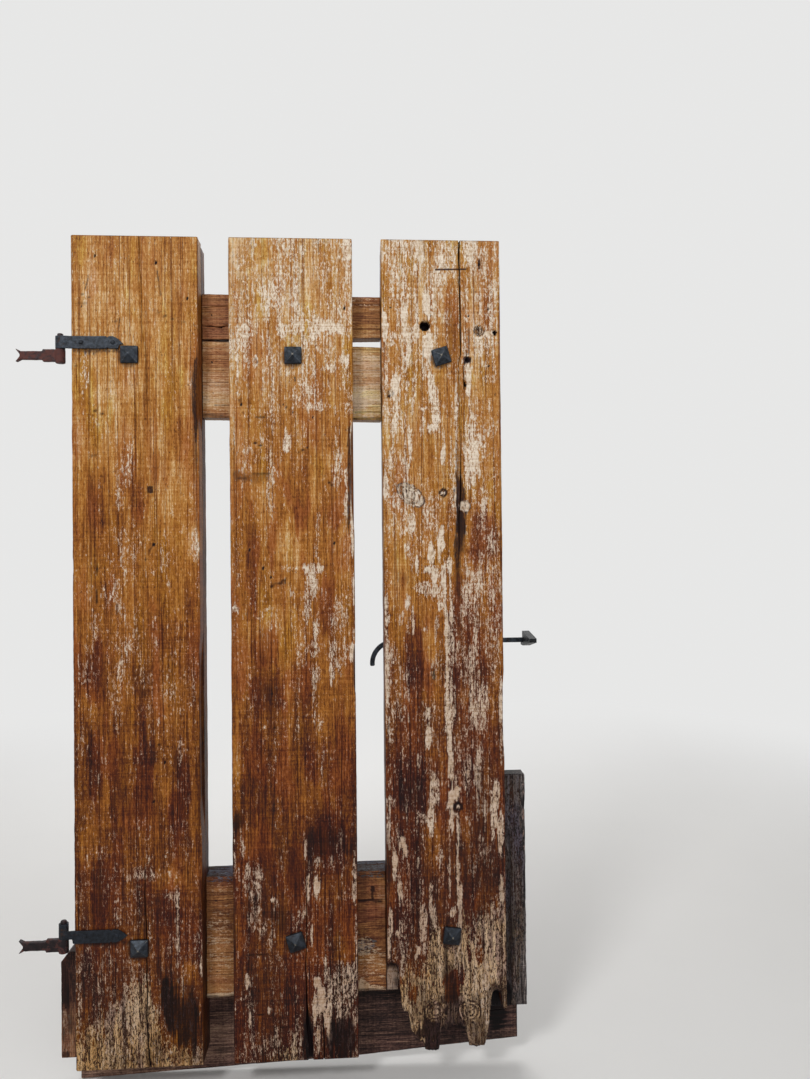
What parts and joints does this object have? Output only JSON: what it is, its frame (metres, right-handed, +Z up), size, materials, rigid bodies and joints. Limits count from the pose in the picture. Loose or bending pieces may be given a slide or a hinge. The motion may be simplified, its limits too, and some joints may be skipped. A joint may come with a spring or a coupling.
{
  "type": "rustic plank gate",
  "caption": "Heavy rustic plank gate on wall pintles, with a tenoned back frame, pyramid-head bolts, strap hinges and a lifting bar latch.",
  "frame": {"origin": "middle of the lower pintle's tang where it enters the hinge wall", "axes": "+X from the hinge wall to the latch wall, +Y away from the planks' front face, +Z up"},
  "size_m": [1.257, 0.154, 2.084],
  "materials": {
    "plank_timber": "weathered",
    "frame_timber": "weathered",
    "kick_timber": "weathered",
    "strip_timber": "weathered",
    "forged_iron": "forged black",
    "rusty_iron": "rusty",
    "screw_steel": "dull"
  },
  "bodies": {
    "wall_hardware": {"upper_pintle": "rusty_iron", "lower_pintle": "rusty_iron", "latch_keeper": "forged_iron"},
    "gate_leaf": {"left_plank": "plank_timber", "middle_plank": "plank_timber", "right_plank": "plank_timber", "hanging_stile": "frame_timber", "latch_stile": "frame_timber", "upper_rail_top_board": "frame_timber", "upper_rail_lower_board": "frame_timber", "lower_rail": "frame_timber", "rail_pegs": "frame_timber", "lower_back_board": "frame_timber", "kick_board": "kick_timber", "left_cover_strip": "strip_timber", "right_cover_strip": "strip_timber", "upper_hinge_strap": "forged_iron", "lower_hinge_strap": "forged_iron", "strap_nails": "forged_iron", "upper_left_bolt": "forged_iron", "upper_middle_bolt": "forged_iron", "upper_right_bolt": "forged_iron", "lower_left_bolt": "forged_iron", "lower_middle_bolt": "forged_iron", "lower_right_bolt": "forged_iron", "bolt_washers": "forged_iron", "bolt_nuts": "forged_iron", "latch_pivot": "forged_iron", "latch_guide": "forged_iron", "back_board_screws": "screw_steel", "cover_strip_screws": "screw_steel"},
    "latch": {"latch_bar": "forged_iron"}
  },
  "joints": [
    {"name": "gate_swing", "type": "hinge", "parent": "wall_hardware", "child": "gate_leaf", "pos_m": [0.0405, 0, 0.0155], "axis": [0, 0, -1], "range_deg": [0, 90]},
    {"name": "latch_lift", "type": "hinge", "parent": "gate_leaf", "child": "latch", "pos_m": [0.887, 0.0895, 0.7015], "axis": [0, -1, 0], "range_deg": [0, 10]}
  ]
}
